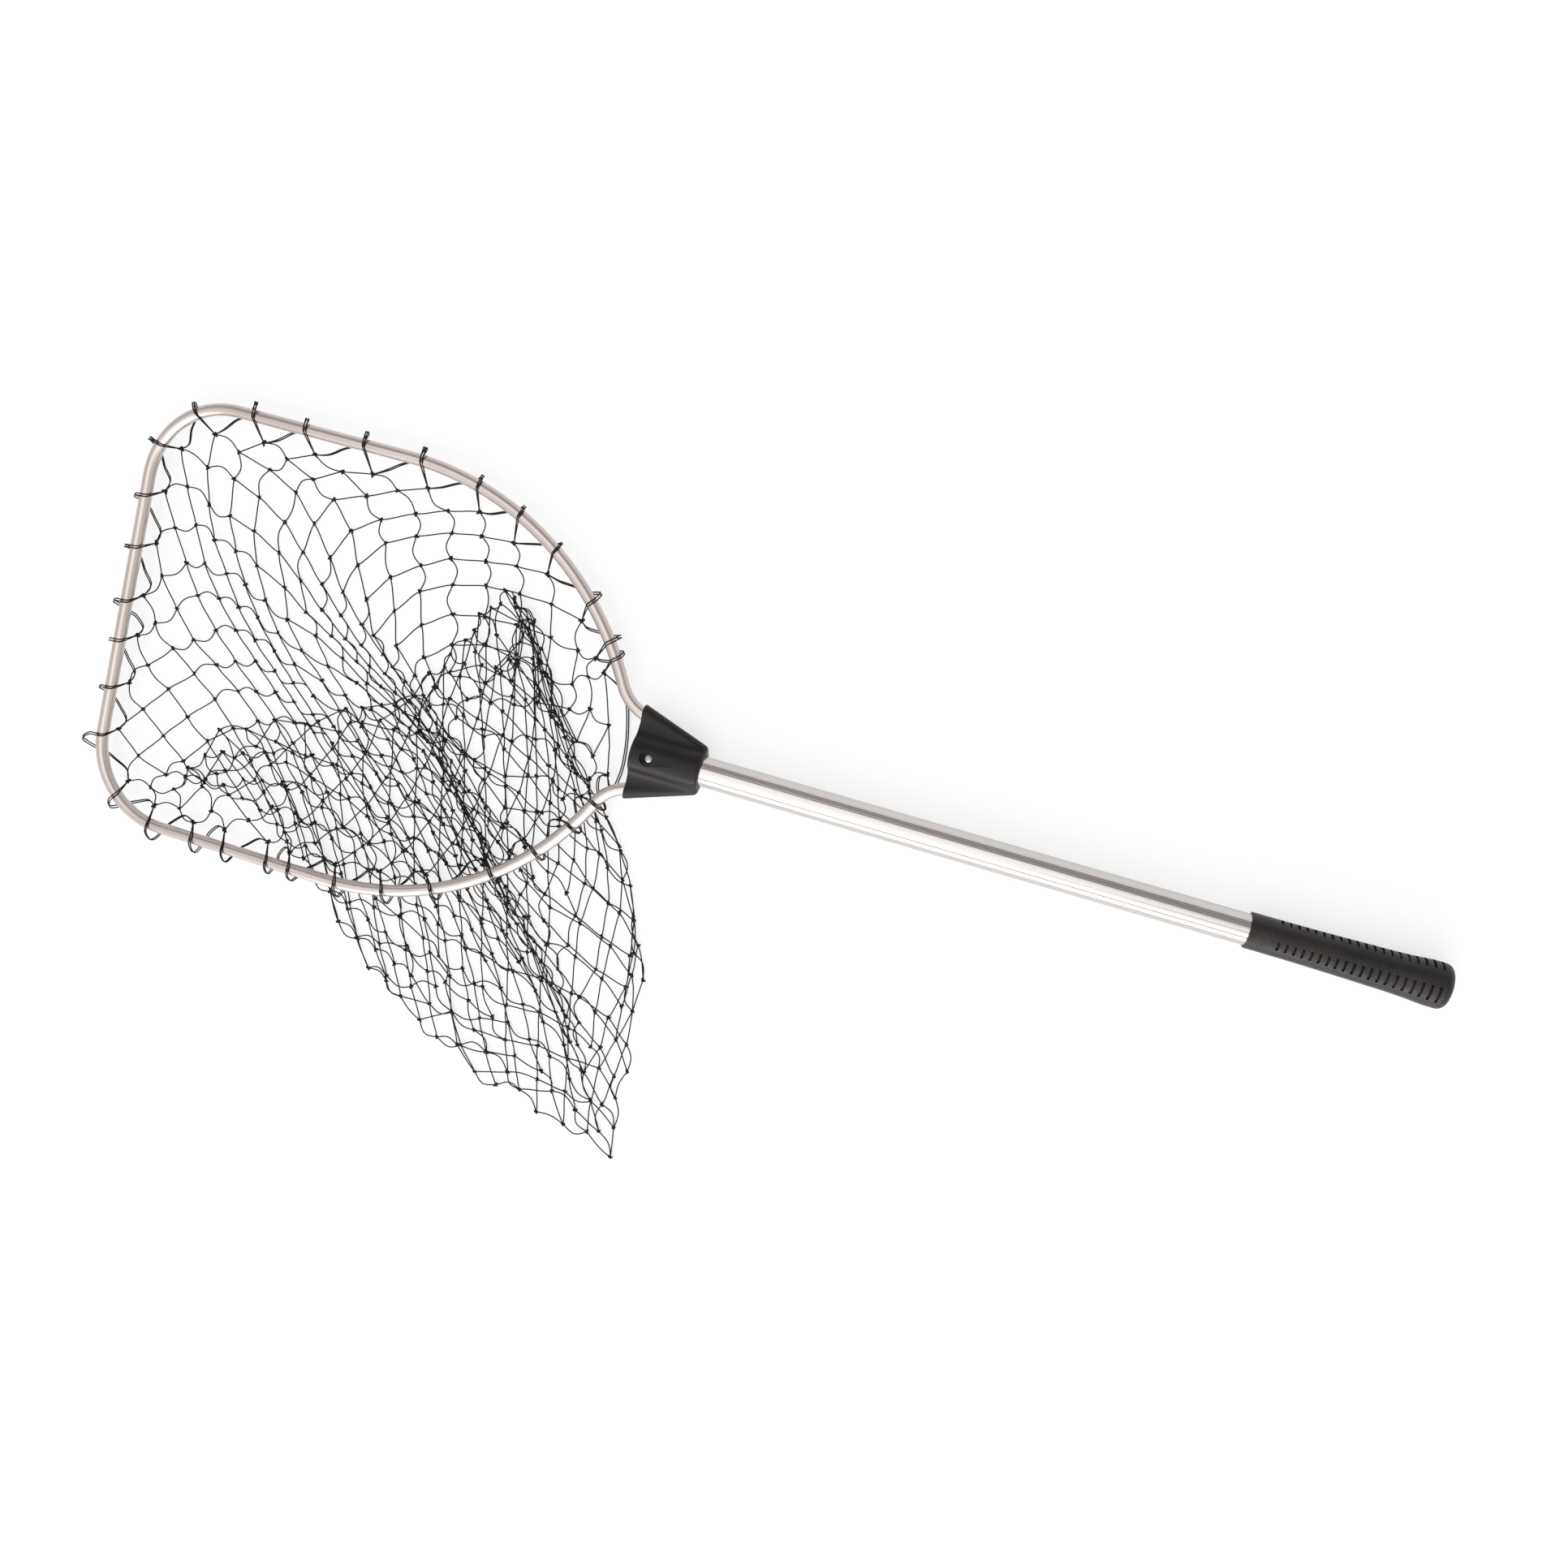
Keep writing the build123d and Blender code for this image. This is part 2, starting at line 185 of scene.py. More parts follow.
def hoop_line(step=1.0):
    """Points along the hoop tube's centre line, from the yoke's +y side round to its -y side."""
    runs = (
        (hoop_half_width - far_corner_r, 0, 0), (0, far_corner_r, -90),
        (hoop_reach - far_corner_r + side_end_x, 0, 0), (0, shoulder_r, -shoulder_turn),
        (0, neck_r, neck_turn), (neck_end_run, 0, 0),
    )
    at, heading = np.array([-hoop_reach, 0.0]), math.pi / 2
    points = [at.copy()]
    for straight, radius, turn in runs:
        length = straight or abs(math.radians(turn)) * radius
        pieces = max(1, round(length / step))
        for _ in range(pieces):
            heading += math.radians(turn) / pieces / 2
            at = at + length / pieces * np.array([math.cos(heading), math.sin(heading)])
            heading += math.radians(turn) / pieces / 2
            points.append(at.copy())
    half = np.array(points)
    return np.vstack([half[::-1], half[1:] * (1, -1)])


hoop_points = hoop_line()
hoop_along = np.concatenate([[0], np.cumsum(np.linalg.norm(np.diff(hoop_points, axis=0), axis=1))])


def on_hoop(station):
    """Centre-line point and inward direction at a distance along the hoop, both in the plane."""
    s = np.clip(station, 0, hoop_along[-1])
    at = np.stack([np.interp(s, hoop_along, hoop_points[:, k]) for k in (0, 1)], -1)
    ahead = np.stack([np.interp(s + 3, hoop_along, hoop_points[:, k]) for k in (0, 1)], -1)
    behind = np.stack([np.interp(s - 3, hoop_along, hoop_points[:, k]) for k in (0, 1)], -1)
    way = unit(ahead - behind)
    return at, np.stack([-way[..., 1], way[..., 0]], -1)


def catmull_rom(p0, p1, p2, p3, t):
    """The smooth curve through p1 and p2, at a part t of the way between them."""
    return 0.5 * (2 * p1 + (p2 - p0) * t + (2 * p0 - 5 * p1 + 4 * p2 - p3) * t ** 2
                  + (3 * p1 - p0 - 3 * p2 + p3) * t ** 3)


def smooth_between(values, at):
    """A smooth curve through values (first axis), at a fractional index."""
    last = len(values) - 1
    at = np.clip(at, 0, last)
    i = np.minimum(at.astype(int), last - 1)
    return catmull_rom(values[np.maximum(i - 1, 0)], values[i], values[i + 1],
                       values[np.minimum(i + 2, last)], (at - i)[:, None])


def smooth_round(values, at):
    """The same for a closed row of values, where the last is followed by the first."""
    i = np.floor(at).astype(int)
    return catmull_rom(*(values[(i + k) % len(values)] for k in (-1, 0, 1, 2)), (at - i)[:, None])


def new_piece(name, vertices, faces, material, body="head", slot="twine"):
    """A smooth-shaded mesh, given in millimetres from the button, riding on a body."""
    mesh = bpy.data.meshes.new(name)
    placed = np.asarray(vertices, float) * MM + origin
    mesh.from_pydata(placed.tolist(), [], faces)
    mesh.shade_smooth()
    mesh.materials.append(material)
    piece = bpy.data.objects.new(name, mesh)
    bpy.context.scene.collection.objects.link(piece)
    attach(piece, body)
    return piece


def skin(rings, first=0):
    """Faces over a run of rings of points, closed at both ends; first is its first vertex."""
    count, sides = rings.shape[:2]
    faces = []
    for r in range(count - 1):
        for k in range(sides):
            a, b = first + r * sides + k, first + r * sides + (k + 1) % sides
            faces.append((a, b, b + sides, a + sides))
    faces.append(tuple(first + k for k in range(sides))[::-1])
    faces.append(tuple(first + (count - 1) * sides + k for k in range(sides)))
    return faces


def tubes(lines, radius, sides):
    """Closed round tubes along each line of points: (vertices, faces) of them all."""
    vertices, faces = [], []
    turns = np.arange(sides) / sides * 2 * math.pi
    for line in lines:
        line = np.asarray(line, float)
        way = unit(np.gradient(line, axis=0))
        side = np.cross(way, (0, 0, 1.0))
        flat = np.linalg.norm(side, axis=1) < 0.15
        side[flat] = np.cross(way[flat], (1.0, 0, 0))
        for i in range(1, len(side)):
            along = side[i - 1] - way[i] * (side[i - 1] @ way[i])
            side[i] = along if np.linalg.norm(along) > 1e-6 else side[i]
            side[i] /= np.linalg.norm(side[i])
        side = unit(side)
        up = np.cross(side, way)
        ring = side[:, None] * np.cos(turns)[:, None] + up[:, None] * np.sin(turns)[:, None]
        faces += skin(ring, sum(len(v) for v in vertices))
        vertices.append((line[:, None] + ring * radius).reshape(-1, 3))
    return np.vstack(vertices), faces


def rounded(corners, radius, pieces=10):
    """A line through corners in a plane, with every inner corner rounded to a radius."""
    line = [corners[0]]
    for before, corner, after in zip(corners, corners[1:], corners[2:]):
        back, on = unit(before - corner), unit(after - corner)
        half = math.acos(np.clip(back @ on, -1, 1)) / 2
        middle = corner + unit(back + on) * radius / math.sin(half)
        start = corner + back * radius / math.tan(half) - middle
        end = corner + on * radius / math.tan(half) - middle
        turn = math.atan2(start[0] * end[1] - start[1] * end[0], start @ end)
        for k in range(pieces + 1):
            c, s = math.cos(turn * k / pieces), math.sin(turn * k / pieces)
            line.append(middle + (start[0] * c - start[1] * s, start[0] * s + start[1] * c))
    return np.array(line + [corners[-1]])


# ---- Materials ----

def new_material(name, colour, roughness, metallic=0.0):
    """A material and its Principled shader."""
    material = bpy.data.materials.new(name)
    material.use_nodes = True
    shader = material.node_tree.nodes["Principled BSDF"]
    shader.inputs["Base Color"].default_value = (*colour, 1)
    shader.inputs["Roughness"].default_value = roughness
    shader.inputs["Metallic"].default_value = metallic
    return material, shader


def add(material, kind, links=None, **values):
    """A node of that kind; values set its sockets or fields, and links feed its sockets."""
    node = material.node_tree.nodes.new("ShaderNode" + kind)
    for key, value in values.items():
        if hasattr(node, key):
            setattr(node, key, value)
        else:
            node.inputs[key.replace("_", " ")].default_value = value
    for key, output in (links or {}).items():
        material.node_tree.links.new(output, node.inputs[key])
    return node


def places(material, scale=(1, 1, 1), shift=(0, 0, 0)):
    """Object coordinates in metres, scaled along x, y and z and then shifted."""
    found = add(material, "TexCoord")
    return add(material, "Mapping", {"Vector": found.outputs["Object"]},
               Scale=scale, Location=shift).outputs[0]


def noise(material, vector, scale, detail=3.0, roughness=0.55):
    """A noise texture's value."""
    made = add(material, "TexNoise", {"Vector": vector}, Scale=scale, Detail=detail,
               Roughness=roughness)
    return made.outputs["Fac"]


def ramp(material, value, low, high, low_colour, high_colour):
    """A colour that goes from one to another as a value goes from low to high."""
    made = add(material, "ValToRGB", {"Fac": value})
    made.color_ramp.elements[0].position = low
    made.color_ramp.elements[1].position = high
    made.color_ramp.elements[0].color = (*low_colour, 1)
    made.color_ramp.elements[1].color = (*high_colour, 1)
    return made.outputs["Color"]


def spread(material, value, low, high, start=0.3, end=0.7):
    """A number that goes from low to high as a value goes from start to end."""
    return add(material, "MapRange", {"Value": value}, From_Min=start, From_Max=end,
               To_Min=low, To_Max=high).outputs[0]


def feed(material, shader, **sockets):
    """Feeds shader sockets, such as Base_Color, from node outputs."""
    for key, output in sockets.items():
        material.node_tree.links.new(output, shader.inputs[key.replace("_", " ")])


def bump(material, shader, height, distance, strength):
    """Bump from a height between 0 and 1, distance deep in metres."""
    made = add(material, "Bump", {"Height": height}, Strength=strength, Distance=distance)
    feed(material, shader, Normal=made.outputs["Normal"])


def hoop_material():
    """Champagne anodised aluminium, slightly clouded."""
    material, shader = new_material("champagne_aluminium", (0.55, 0.485, 0.45), 0.3, metallic=1.0)
    fine = noise(material, places(material, (14, 14, 14)), 60.0, detail=4.0, roughness=0.6)
    clouds = noise(material, places(material), 14.0, detail=2.0)
    feed(material, shader,
         Base_Color=ramp(material, clouds, 0.35, 0.7, (0.55, 0.485, 0.45), (0.60, 0.54, 0.505)),
         Roughness=spread(material, fine, 0.26, 0.35))
    bump(material, shader, fine, 0.00002, 0.25)
    return material


def handle_material():
    """Drawn tube: painted shade in its fine grooves, a dark brown colour where the surface lies
    nearer to the axis.
    """
    material, shader = new_material("drawn_aluminium", (0.60, 0.572, 0.55), 0.22, metallic=1.0)
    lines = noise(material, places(material, (0.4, 22, 22)), 60.0, detail=4.0, roughness=0.6)
    # Painted shade: the surface nearer to the axis, in the grooves, is coloured dark brown.
    across = places(material, (0, 1, 1), (0, -origin[1], -origin[2]))
    from_axis = add(material, "VectorMath", {"Vector": across}, operation="LENGTH")
    groove_shade_mask = spread(material, from_axis.outputs["Value"], 0, 1,
                   start=(handle_tube_r - 0.40) * MM, end=(handle_tube_r - 0.06) * MM)
    feed(material, shader,
         Base_Color=ramp(material, groove_shade_mask, 0.0, 1.0, (0.25, 0.215, 0.19), (0.60, 0.572, 0.55)),
         Roughness=spread(material, lines, 0.17, 0.27))
    bump(material, shader, lines, 0.00002, 0.25)
    return material


def moulded_plastic():
    """Satin black plastic with a fine spark-eroded texture."""
    material, shader = new_material("yoke_plastic", (0.011, 0.009, 0.008), 0.36)
    shader.inputs["Specular IOR Level"].default_value = 0.24
    fine = noise(material, places(material), 900.0, detail=2.0)
    broad = noise(material, places(material), 35.0, detail=3.0)
    feed(material, shader,
         Base_Color=ramp(material, broad, 0.3, 0.75, (0.008, 0.0065, 0.006), (0.014, 0.011, 0.010)),
         Roughness=spread(material, broad, 0.3, 0.44))
    bump(material, shader, fine, 0.00010, 0.5)
    return material


def grip_rubber():
    """Black grip rubber with a fine leathery grain; its sheen is turned down where an
    ambient-occlusion mask finds it hemmed in, painted shade in its slots.
    """
    material, shader = new_material("grip_rubber", (0.013, 0.010, 0.009), 0.42)
    place = places(material)
    # Painted shade: the ambient-occlusion mask turns the sheen down in the slots.
    open_air = add(material, "AmbientOcclusion", Distance=2.5 * MM)
    sheen_with_painted_slot_shade = spread(material, open_air.outputs["AO"], 0.02, 0.36, start=0.55, end=0.95)
    cells = add(material, "TexVoronoi", {"Vector": place}, Scale=620.0, feature="SMOOTH_F1")
    wander = noise(material, place, 160.0, detail=4.0)
    grain = add(material, "Math", {0: cells.outputs["Distance"], 1: wander}, operation="ADD")
    broad = noise(material, place, 22.0, detail=3.0)
    feed(material, shader,
         Base_Color=ramp(material, broad, 0.3, 0.75,
                         (0.009, 0.007, 0.0065), (0.018, 0.014, 0.0125)),
         Roughness=spread(material, wander, 0.32, 0.48), Specular_IOR_Level=sheen_with_painted_slot_shade)
    bump(material, shader, grain.outputs[0], 0.00032, 0.9)
    return material


def button_steel():
    """Bright nickel-plated steel, lightly marked."""
    material, shader = new_material("button_steel", (0.32, 0.312, 0.305), 0.22, metallic=1.0)
    marks = noise(material, places(material), 500.0, detail=4.0)
    feed(material, shader, Roughness=spread(material, marks, 0.16, 0.30))
    bump(material, shader, marks, 0.00003, 0.4)
    return material


def screw_steel():
    """Zinc-plated steel of the screws and the spring, duller than the button."""
    material, shader = new_material("screw_steel", (0.62, 0.62, 0.64), 0.35, metallic=1.0)
    marks = noise(material, places(material), 320.0, detail=4.0)
    feed(material, shader,
         Base_Color=ramp(material, marks, 0.35, 0.7, (0.52, 0.52, 0.55), (0.70, 0.70, 0.71)),
         Roughness=spread(material, marks, 0.28, 0.45))
    return material


def twine_material():
    """Black twisted nylon twine: a slight sheen, and fuzzier, greyer patches."""
    material, shader = new_material("black_twine", (0.006, 0.006, 0.006), 0.7)
    shader.inputs["Specular IOR Level"].default_value = 0.22
    place = places(material)
    fibres = noise(material, place, 1400.0, detail=2.0)
    broad = noise(material, place, 60.0, detail=2.0)
    feed(material, shader,
         Base_Color=ramp(material, broad, 0.35, 0.75, (0.004, 0.004, 0.004), (0.010, 0.009, 0.009)),
         Roughness=spread(material, broad, 0.45, 0.65))
    bump(material, shader, fibres, 0.00018, 0.8)
    return material


def floor_material():
    """Matt white studio floor."""
    material, shader = new_material("studio_floor", (0.30, 0.30, 0.30), 0.9)
    shader.inputs["Specular IOR Level"].default_value = 0.1
    shader.inputs["Emission Color"].default_value = (1, 1, 1, 1)
    shader.inputs["Emission Strength"].default_value = 0.69
    faint = noise(material, places(material), 3.0, detail=2.0)
    feed(material, shader,
         Base_Color=ramp(material, faint, 0.2, 0.8, (0.295, 0.295, 0.295), (0.305, 0.305, 0.305)))
    return material


black_plastic = moulded_plastic()
zinc_steel = screw_steel()
twine = twine_material()
node_materials = {
    "hoop_tube": hoop_material(),
    "handle_tube": handle_material(),
    "yoke": black_plastic,
    "grip": grip_rubber(),
    "front_plug": black_plastic,
    "rear_plug": black_plastic,
    "lock_button": button_steel(),
    "hoop_screw_left": zinc_steel,
    "hoop_screw_right": zinc_steel,
}
for node_name, material in node_materials.items():
    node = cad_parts[node_name]
    node.data.materials.clear()
    node.data.materials.append(material)
    for face_slot in node.material_slots:
        face_slot.material = material


# ---- Netting: its threads and knots ----

def first_row(column):
    """Where knots of the first row hang, just inside the hoop tube, by column of meshes."""
    stations = np.array(loop_stations, float)
    around = np.interp(column, np.arange(mesh_count), stations) - knot_lag
    at, inward = on_hoop(around)
    reach = np.interp(column, hang_marks, hang_reach) + 2.0 * np.sin(column * 2.1)
    return np.column_stack([at + inward * reach[:, None], np.full(len(column), hung_z)])


def guide(column, row):
    """Where a thread of knots would lie, by column of meshes (0 to 32) and row."""
    run_points = np.array(lay, float) + (0, 0, floor_z)
    stack = np.array([first_row(column)] + [smooth_round(run_points[:, k], column / 2)
                                            for k in range(run_points.shape[1])])
    made = np.empty((len(column), 3))
    for k in range(len(column)):
        index = row[k] / laid_row
        if index > 1:
            steps = np.linspace(1, len(stack) - 1, 60)
            run = smooth_between(stack[:, k], steps)
            along = np.concatenate([[0], np.cumsum(np.linalg.norm(np.diff(run, axis=0), axis=1))])
            part = (row[k] - laid_row) / (rows.max() - laid_row)
            index = np.interp(part * along[-1], along, steps)
        made[k] = smooth_between(stack[:, k], np.array([index]))[0]
    return made


def lattice():
    """Knots as (column, row), the bars between them as pairs of knots, and the side of its lower
    knot that each bar comes from: -1 for the left and 1 for the right."""
    columns, rows, bars, sides = [], [], [], []
    above = []
    for row in range(full_rows + len(taper) + 1):
        narrowing = row > full_rows
        count = taper[row - full_rows - 1] if narrowing else mesh_count
        gaps = len(above)
        edges = np.round((np.arange(count + 1) + 0.37 * row % 1) * gaps / count).astype(int)
        here = []
        for k in range(count):
            knot = len(columns)
            if row == 0:
                place = float(k)
            elif not narrowing:
                shift = 0 if row % 2 else -1
                left, right = above[(k + shift) % count], above[(k + shift + 1) % count]
                place = (columns[left] + ((columns[right] - columns[left]) % mesh_count) / 2)
                bars += [(left, knot), (right, knot)]
                sides += [-1, 1]
            else:
                gap = [g % gaps for g in range(edges[k], edges[k + 1])]
                firsts = [above[g] for g in gap] + [above[(gap[-1] + 1) % gaps]]
                width = (columns[firsts[-1]] - columns[firsts[0]]) % mesh_count
                if gaps <= len(gap):
                    width = 0
                place = columns[firsts[0]] + width / 2
                others = list(dict.fromkeys(firsts))
                bars += [(other, knot) for other in others]
                sides += [-1 if n < len(others) / 2 else 1 for n in range(len(others))]
            columns.append(place % mesh_count)
            rows.append(row)
            here.append(knot)
        above = here
    return np.array(columns), np.array(rows, float), np.array(bars), np.array(sides)


def settled(knots, rows, bars, lengths, steps):
    """Knots moved until no bar is longer than its twine, staying near where they were laid."""
    laid = knots.copy()
    hung = rows == 0
    a, b = bars[:, 0], bars[:, 1]
    share = np.zeros(len(knots))
    np.add.at(share, a, 1)
    np.add.at(share, b, 1)
    folded = (rows > 5) & (rows < 11) & ((columns > 20) | (columns < 1.5))
    hold = np.where(folded, fold_hold, bag_hold)[:, None]
    for step in range(steps):
        knots = knots + (laid - knots) * hold * (1 - 0.8 * step / steps)
        gap = knots[b] - knots[a]
        long = np.linalg.norm(gap, axis=1)
        change = np.where(long > lengths, long - lengths, 0)
        short = least_bar * lengths
        change = np.where(long < short, (long - short) * 0.2, change)
        move = gap / np.maximum(long, 1e-6)[:, None] * (change / 2)[:, None]
        total = np.zeros_like(knots)
        np.add.at(total, a, move)
        np.add.at(total, b, -move)
        knots = knots + total / share[:, None] * 1.6
        knots[hung] = laid[hung]
        knots[:, 2] = laid[:, 2]
    return knots


def bunched(points):
    """Points near the folded edge, drawn in towards it."""
    ends = np.array(crest, float)
    line = smooth_between(ends, np.linspace(0, len(ends) - 1, 80))
    gap = line[None] - points[:, None, :2]
    nearest = np.argmin(np.linalg.norm(gap, axis=2), axis=1)
    gap = gap[np.arange(len(points)), nearest]
    pull = crest_pull * np.clip(1 - np.linalg.norm(gap, axis=1) / crest_reach, 0, 1) ** 0.5
    points[:, :2] += gap * pull[:, None]
    return points


columns, rows, bars, bar_side = lattice()
laid_out = guide(columns, rows)
folding = (rows > 5) & (rows < 11) & (columns > 22)
laid_out[folding] = bunched(laid_out[folding])
laid_out[rows > 0] += rng.normal(0, laid_wobble, (int((rows > 0).sum()), 3)) * (1, 1, 0)
hang = np.array([0.0, 0.45, 0.85, 1.0])   # how far down to the ground the first rows come
near_top = np.minimum(rows, 3).astype(int)
ground = smooth_round(np.array(lay, float)[:, 0], columns / 2)[:, 2] + floor_z
sloped = hung_z + (ground - hung_z) * hang[near_top]
laid_out[:, 2] = np.where(rows < 3, sloped, laid_out[:, 2])
laid_out[:, 2] = np.clip(laid_out[:, 2], floor_z + 1.6, hung_z + 1)
bar_lengths = bar_length * (1 + rng.normal(0, bar_spread, len(bars)))
knots = settled(laid_out, rows, bars, bar_lengths, settle_steps)
under_tube = (np.abs(knots[:, 1]) < tube_path_half) & (knots[:, 0] > tube_path_end)
knots[under_tube, 2] = np.minimum(knots[under_tube, 2], floor_z + under_tube_height)


def knot_axes():
    """The way across each knot, from the bars on its left to the bars on its right."""
    way = unit(knots[bars[:, 1]] - knots[bars[:, 0]])
    axes = np.zeros_like(knots)
    np.add.at(axes, bars[:, 0], way * bar_side[:, None])
    np.add.at(axes, bars[:, 1], way * bar_side[:, None])
    axes[:, 2] = 0
    return unit(axes)


def tube_path_underside(points):
    """How high twine may lie at points, so that the handle tube clears it as it slides."""
    across = np.minimum(np.abs(points[..., 1]), tube_room)
    limit = -np.sqrt(tube_room ** 2 - across ** 2)
    return np.where((across < tube_room) & (points[..., 0] > tube_path_end), limit, 0.0)


def bar_lines(points):
    """The twine of each bar. A knot turns its four bars towards its own axis, so they lie in
    long S shapes, and a slack bar bows out as well."""
    a, b = knots[bars[:, 0]], knots[bars[:, 1]]
    gap = b - a
    long = np.linalg.norm(gap, axis=1)
    slack = np.clip(0.95 * bar_lengths / np.maximum(long, 1) - 1, 0.01, 0.22)
    axes = knot_axes()
    turned = rng.uniform(*bar_turn, len(bars)) * bar_side
    leave = unit(unit(gap) + axes[bars[:, 0]] * turned[:, None])
    turned = rng.uniform(*bar_turn, len(bars)) * bar_side
    arrive = unit(unit(gap) + axes[bars[:, 1]] * turned[:, None])
    pull = (long * (1 + slack))[:, None, None]
    t = np.linspace(0, 1, points)[None, :, None]
    line = ((2 * t ** 3 - 3 * t ** 2 + 1) * a[:, None] + (3 * t ** 2 - 2 * t ** 3) * b[:, None]
            + (t ** 3 - 2 * t ** 2 + t) * pull * leave[:, None]
            + (t ** 3 - t ** 2) * pull * arrive[:, None])
    across = unit(np.cross(gap, (0, 0, 1.0)))
    bow = long * np.sqrt(np.clip(slack - 0.03, 0, 0.2)) * 0.5 * rng.choice([-1, 1], len(bars))
    line = line + across[:, None] * bow[:, None, None] * np.sin(math.pi * t)
    line[:, :, 2] = np.minimum(line[:, :, 2], tube_path_underside(line))
    line[:, :, 2] = np.maximum(line[:, :, 2], floor_z + twine_r)
    return line


def knot_lines():
    """Each knot's wraps: a small three-lobed loop of twine, pulled tight."""
    turns = np.linspace(0, 2 * math.pi, 19)[:-1]
    wrap = np.column_stack([np.sin(turns) + 1.3 * np.sin(2 * turns),
                            np.cos(turns) - 1.3 * np.cos(2 * turns),
                            -0.75 * np.sin(3 * turns)])
    wrap = np.vstack([wrap, wrap[:1]]) * (knot_r - twine_r) / 2.1
    lines = []
    for knot, row in zip(knots, rows):
        size = rng.uniform(1.25, 1.5) if row == 0 else rng.uniform(0.85, 1.15)
        turn = rng.uniform(0, 2 * math.pi)
        lean = rng.uniform(-0.5, 0.5)
        c, s = math.cos(turn), math.sin(turn)
        tilt = np.array([[1, 0, 0], [0, math.cos(lean), -math.sin(lean)],
                         [0, math.sin(lean), math.cos(lean)]])
        spin = np.array([[c, -s, 0], [s, c, 0], [0, 0, 1]])
        low = max(knot[2], floor_z + knot_r * 0.8)
        line = wrap * (1.3, 0.85, 0.9) * size @ (spin @ tilt).T + (knot[0], knot[1], low)
        line[:, 2] = np.maximum(line[:, 2], floor_z + knot_twine_r)
        lines.append(line)
    return lines


net = new_piece("net_bag_twine", *tubes(bar_lines(8), twine_r, 5), twine)
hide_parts("net_bag")
new_piece("net_bag_knots", *tubes(knot_lines(), knot_twine_r, 5), twine)


def loop_lines():
    """The doubled twine round the hoop: from each first-row knot, behind the tube further on,
    up its outer side and over it to the next knot. The first one closes the ring at the yoke."""
    lines = []
    hung = knots[rows == 0]
    over = hoop_tube_r + twine_r + 0.3
    for k in range(mesh_count):
        wide = rng.uniform(0.7, 1.2)
        proud = np.interp(k - 1, hang_marks, loop_proud) * rng.uniform(0.5, 1.3)
        back = rng.uniform(1.0, 4.0) + max(proud - 6, 0)
        for strand in (-wide, wide):
            if k == 0:
                rough = [hung[0], (-44 + strand, 46, -15.0), (-34 + strand, 16, -17.0),
                         (-30 + strand, -20, -17.0), (-34 + strand, -44, -14.0), hung[-1]]
            else:
                near, far = loop_stations[k], loop_stations[k - 1]
                gap = near - far
                # Distance along the hoop, distance inside its centre line, and height
                route = (
                    (near - knot_lag - gap * 0.22, 17.0, -8.0),
                    (near - knot_lag - gap * 0.45, 8.0, -8.0),
                    (far + back + gap * 0.12, 1.0, -over),
                    (far + back, -hoop_tube_r - proud * 0.6, -4.0),
                    (far + back * 0.5, -hoop_tube_r - proud, 0.5),
                    (far - 0.5, -hoop_tube_r * 0.8 - proud * 0.4, over * 0.75),
                    (far - 1.0, -0.5, over),
                    (far - 2.0, hoop_tube_r * 0.85, 3.6),
                )
                rough = [hung[k]]
                for station, reach, height in route:
                    at, inward = on_hoop(np.array([station + strand]))
                    rough.append((*(at[0] + inward[0] * reach), height + strand * 0.2))
                rough.append(hung[k - 1])
            index = np.linspace(0, len(rough) - 1, 40)
            lines.append(smooth_between(np.array(rough, float), index))
    return lines


loops = new_piece("net_loops_twine", *tubes(loop_lines(), twine_r, 6), twine)
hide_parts("net_loops")

# ---- Leaf spring under the button, built in one fixed shape; the real one folds flatter as the button goes down ----

def leaf_spring():
    """The folded steel strip: a flat under the button, a sloped leg, a fold, and a foot that
    runs back along the inside of the tube."""
    middle = rounded(np.array(spring_corners, float), spring_bend_r)
    way = unit(np.gradient(middle, axis=0))
    out = np.column_stack([-way[:, 1], way[:, 0]])
    half_w, half_t = spring_width / 2, spring_t / 2
    edge = half_t * 0.4
    section = [(half_w, half_t - edge), (half_w - edge, half_t), (edge - half_w, half_t),
               (-half_w, half_t - edge), (-half_w, edge - half_t), (edge - half_w, -half_t),
               (half_w - edge, -half_t), (half_w, edge - half_t)]
    rings = np.array([[(x + nx * off, y, z + nz * off) for y, off in section]
                      for (x, z), (nx, nz) in zip(middle, out)])
    spring = new_piece("leaf_spring", rings.reshape(-1, 3), skin(rings), zinc_steel,
                       body="handle", slot="spring_steel")
    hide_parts("button_spring")
    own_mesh(spring)


leaf_spring()

# ---- Floor, light and camera ----

far_out = 40.0
floor_drop = 0.5 * MM
floor_mesh = bpy.data.meshes.new("floor")
floor_mesh.from_pydata([(-far_out, -far_out, 0), (far_out, -far_out, 0), (far_out, far_out, 0),
                        (-far_out, far_out, 0)], [], [(0, 1, 2, 3)])
floor_mesh.materials.append(floor_material())
floor = bpy.data.objects.new("floor", floor_mesh)
floor.location.z = -floor_drop
bpy.context.scene.collection.objects.link(floor)


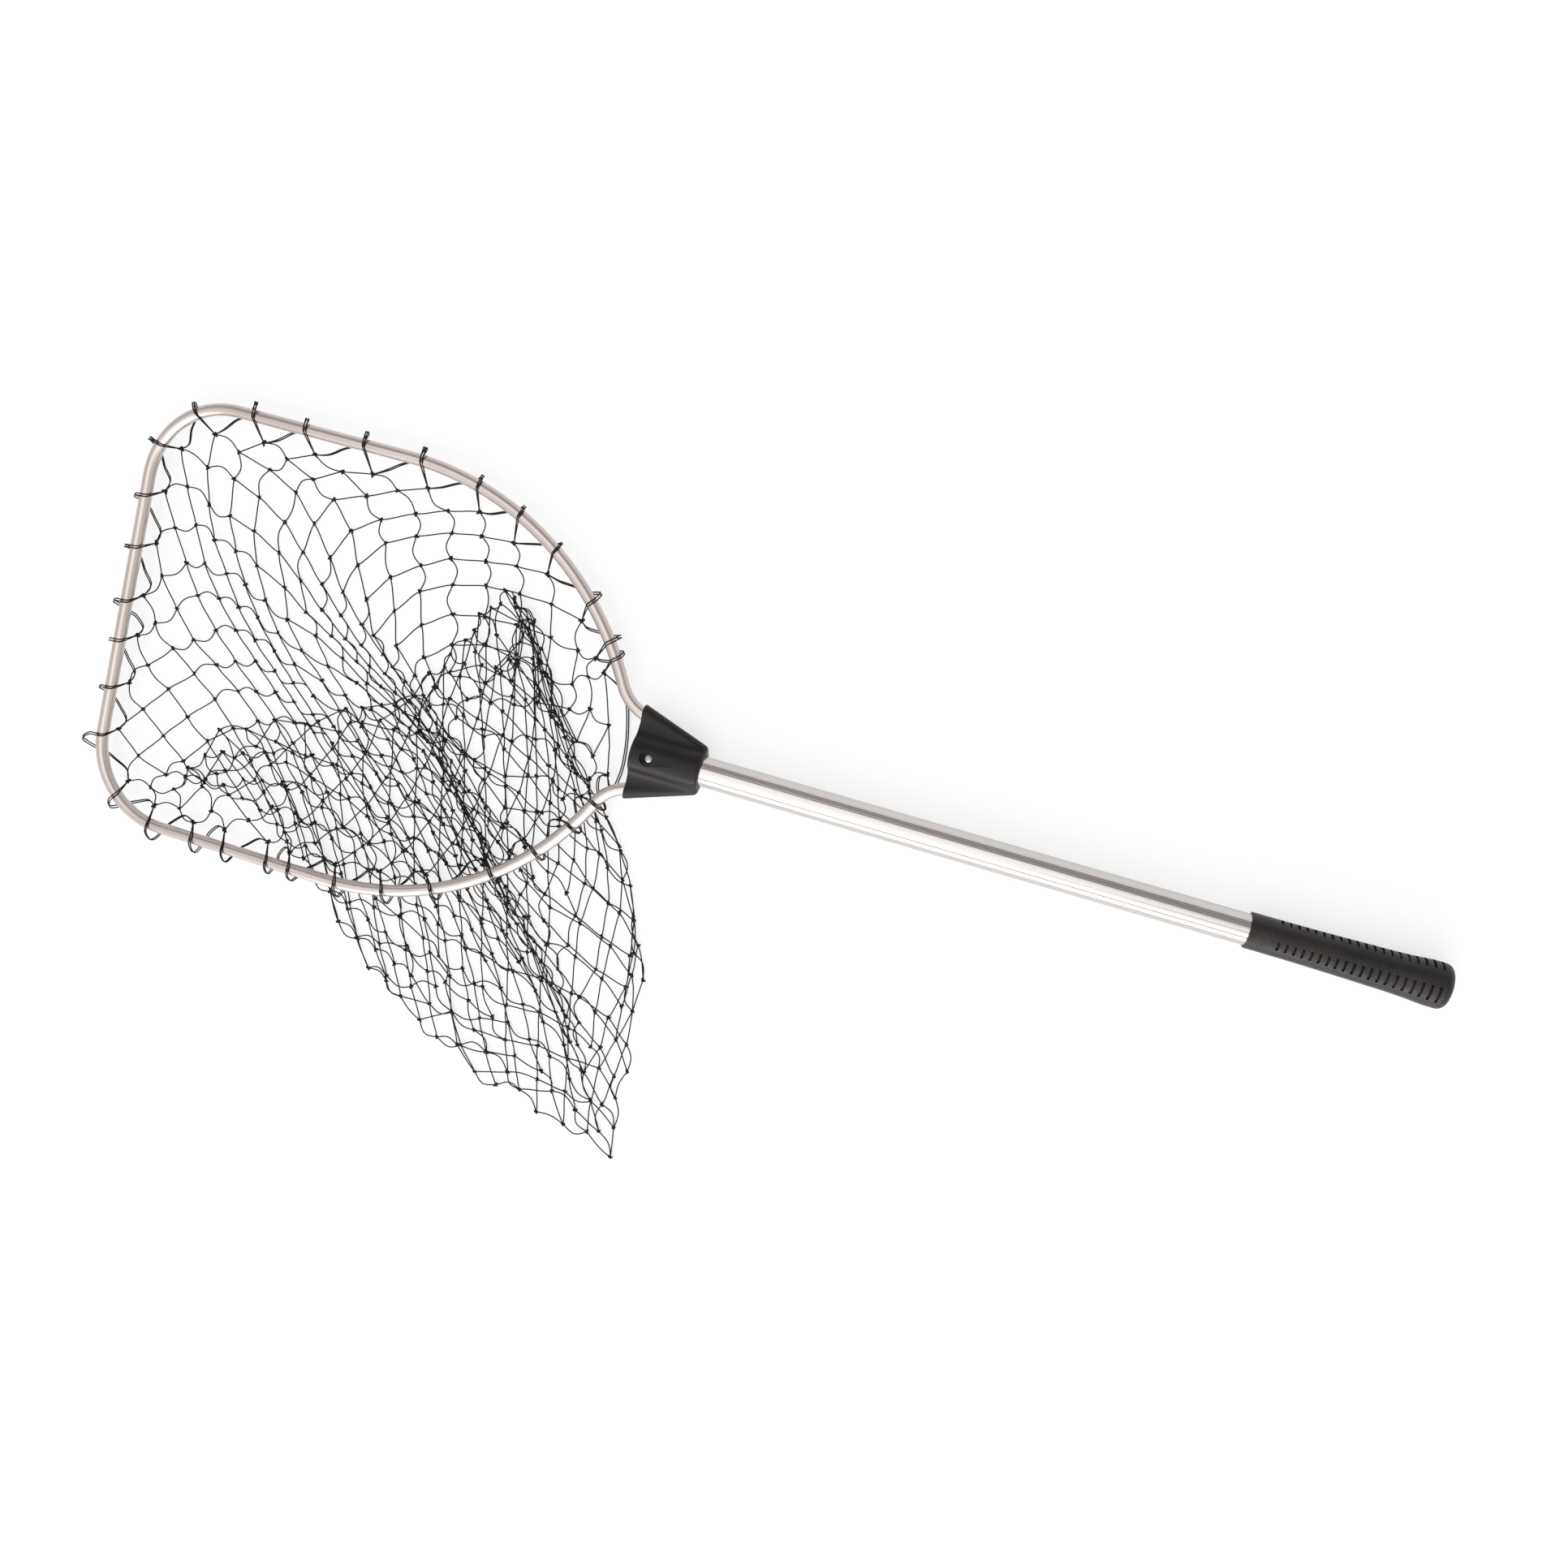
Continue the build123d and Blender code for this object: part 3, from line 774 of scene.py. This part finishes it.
def studio_world():
    """A white studio, brighter on the -y side than on the +y side, with a pale backdrop low
    down."""
    world = bpy.data.worlds.new("studio")
    bpy.context.scene.world = world
    world.use_nodes = True
    background = world.node_tree.nodes["Background"]
    way = add(world, "TexCoord")
    parts = add(world, "SeparateXYZ", {0: way.outputs["Generated"]})
    towards_minus_y = spread(world, parts.outputs["Y"], 0, 1, start=1, end=-1)
    side_light = add(world, "ValToRGB", {"Fac": towards_minus_y})
    side_light.color_ramp.elements[0].position = 0.15
    side_light.color_ramp.elements[0].color = (0.40, 0.38, 0.40, 1)
    side_light.color_ramp.elements[1].position = 0.62
    side_light.color_ramp.elements[1].color = (0.86, 0.86, 0.86, 1)
    side_light.color_ramp.elements.new(0.95).color = (1.30, 1.30, 1.29, 1)
    low_down = spread(world, parts.outputs["Z"], 1, 0, start=0.22, end=0.42)
    backdrop = add(world, "MixRGB", {"Fac": low_down, "Color1": side_light.outputs["Color"]},
                   Color2=(0.96, 0.96, 0.96, 1))
    feed(world, background, Color=backdrop.outputs["Color"])
    background.inputs["Strength"].default_value = 1.03


def softbox(name, place, size, power):
    """A rectangular area light at a place in metres, facing the row's origin."""
    light = bpy.data.lights.new(name, "AREA")
    light.shape = "RECTANGLE"
    light.size, light.size_y = size
    light.energy = power
    lamp = bpy.data.objects.new(name, light)
    lamp.location = place
    lamp.rotation_euler = (-Vector(place)).to_track_quat("-Z", "Y").to_euler()
    bpy.context.scene.collection.objects.link(lamp)


studio_world()
softbox("key_softbox", (0.2, -1.8, 2.6), (3.0, 1.6), 20)
softbox("low_softbox", (0.2, -2.4, 0.75), (3.2, 1.3), 42)
softbox("top_softbox", (-0.4, 0.4, 3.2), (3.0, 3.0), 24)

camera_data = bpy.data.cameras.new("camera")
camera_data.lens = 32.32
camera_data.sensor_width = 36.0
camera_data.clip_start, camera_data.clip_end = 0.01, 100
camera = bpy.data.objects.new("camera", camera_data)
bpy.context.scene.collection.objects.link(camera)
# The camera's place and its picture's directions, from a fit to the photo
camera_place = spot(307.2, 211.4, 1230.1)
right = Vector((0.95023, 0.25159, -0.18373))
down = Vector((0.27502, -0.95449, 0.11535))
forward = Vector((-0.14635, -0.16014, -0.97618))
camera.matrix_world = Matrix.Translation(camera_place) @ Matrix(
    (right, -down, -forward)).transposed().to_4x4()
bpy.context.scene.camera = camera
bpy.context.scene.view_settings.view_transform = "Standard"
